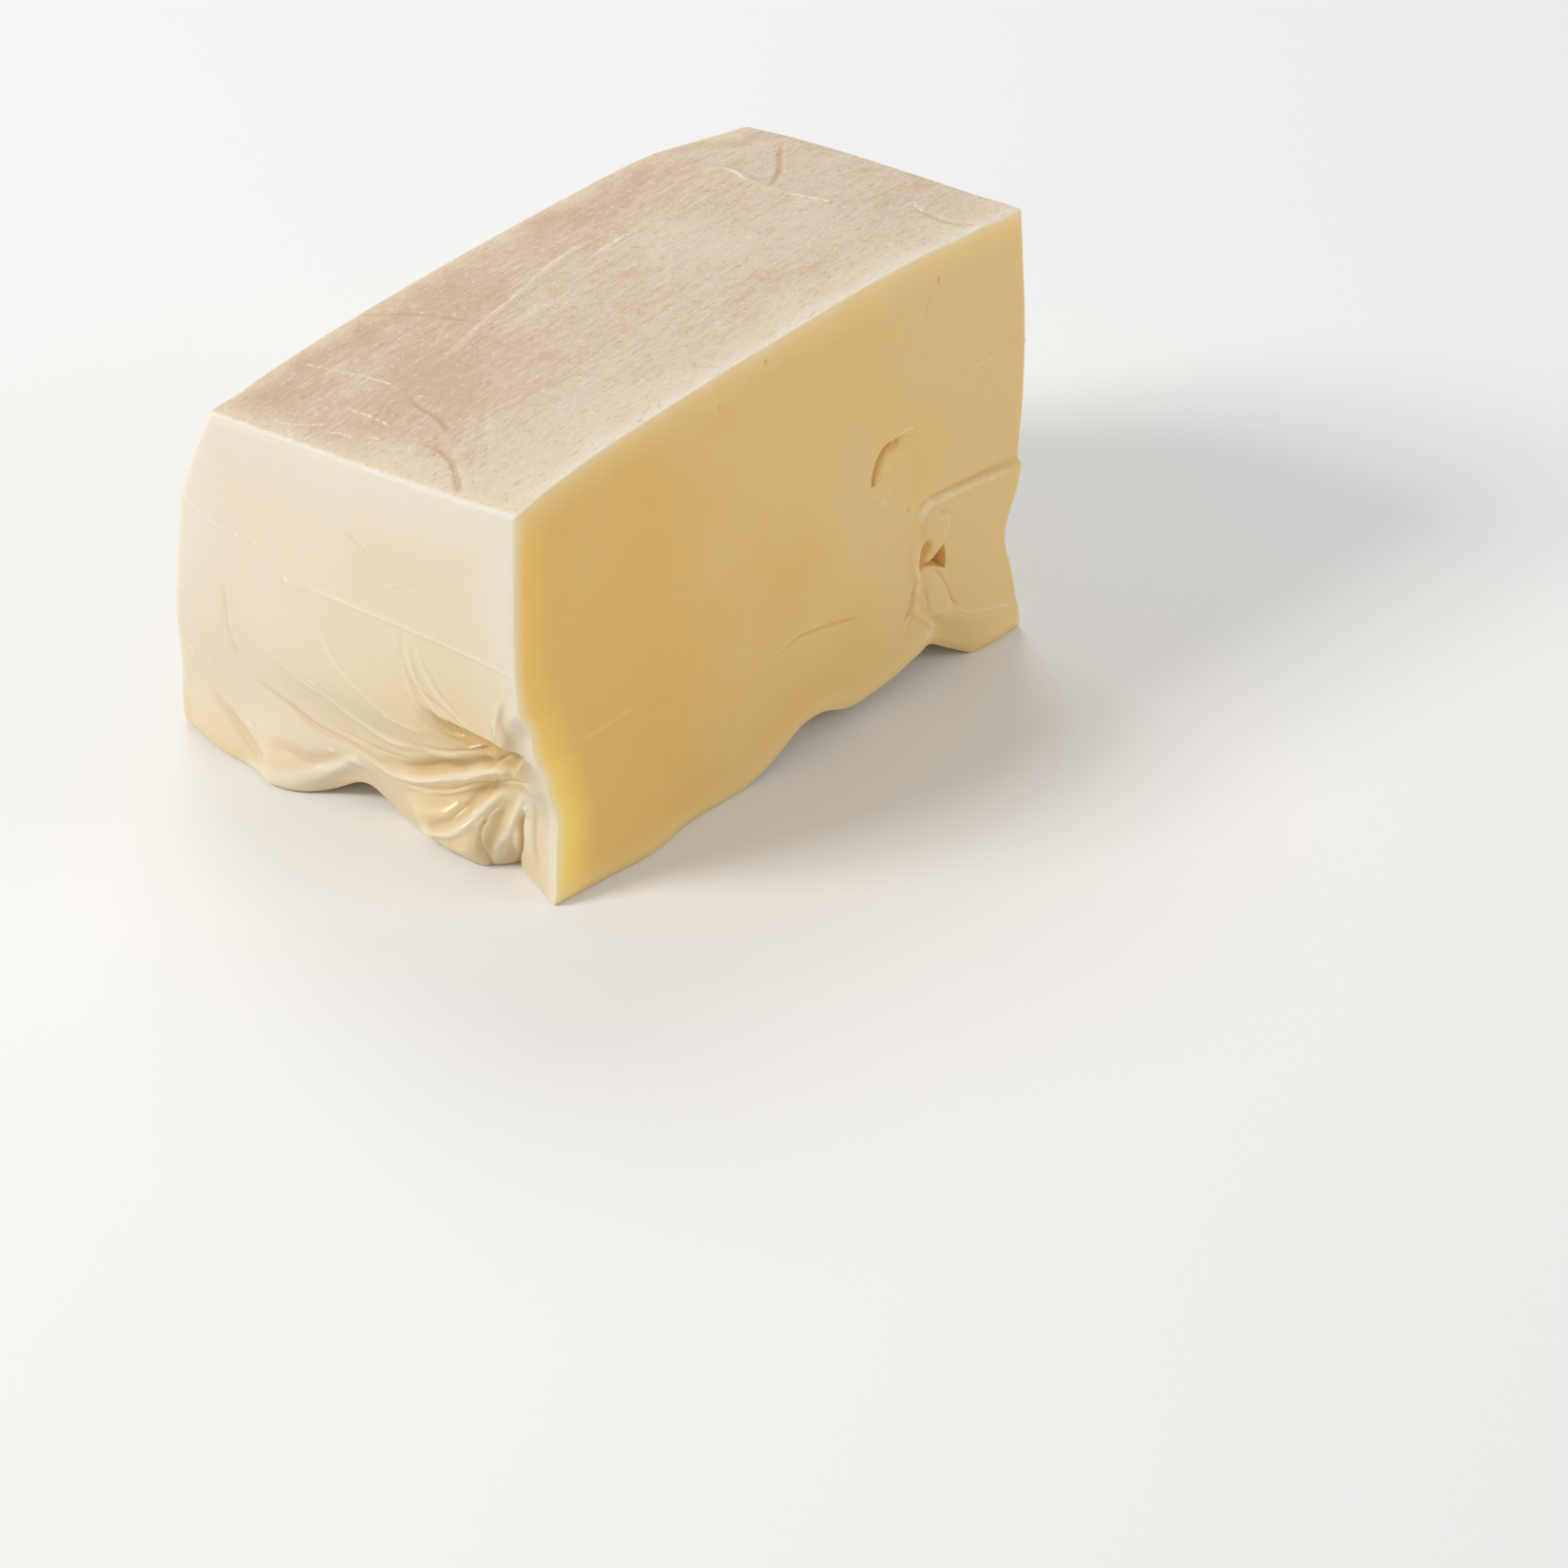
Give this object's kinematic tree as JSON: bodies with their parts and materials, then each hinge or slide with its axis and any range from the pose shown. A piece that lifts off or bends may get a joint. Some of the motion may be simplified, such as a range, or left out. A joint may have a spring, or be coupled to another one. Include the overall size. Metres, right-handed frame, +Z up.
{
  "type": "emmental cheese",
  "caption": "Block of emmental cheese with a pale rind on top, a smooth cut face with small eyes and an end face creased by its wrapping.",
  "frame": {"origin": "middle of the block's outline box, at the level of the surface it stands on", "axes": "+X along the cut face away from the creased end, +Y from the cut face into the block, +Z up towards the rind"},
  "size_m": [0.229, 0.1532, 0.1356],
  "materials": {
    "cheese": "satin"
  },
  "bodies": {
    "root": {"cheese_block": "cheese"}
  },
  "joints": []
}
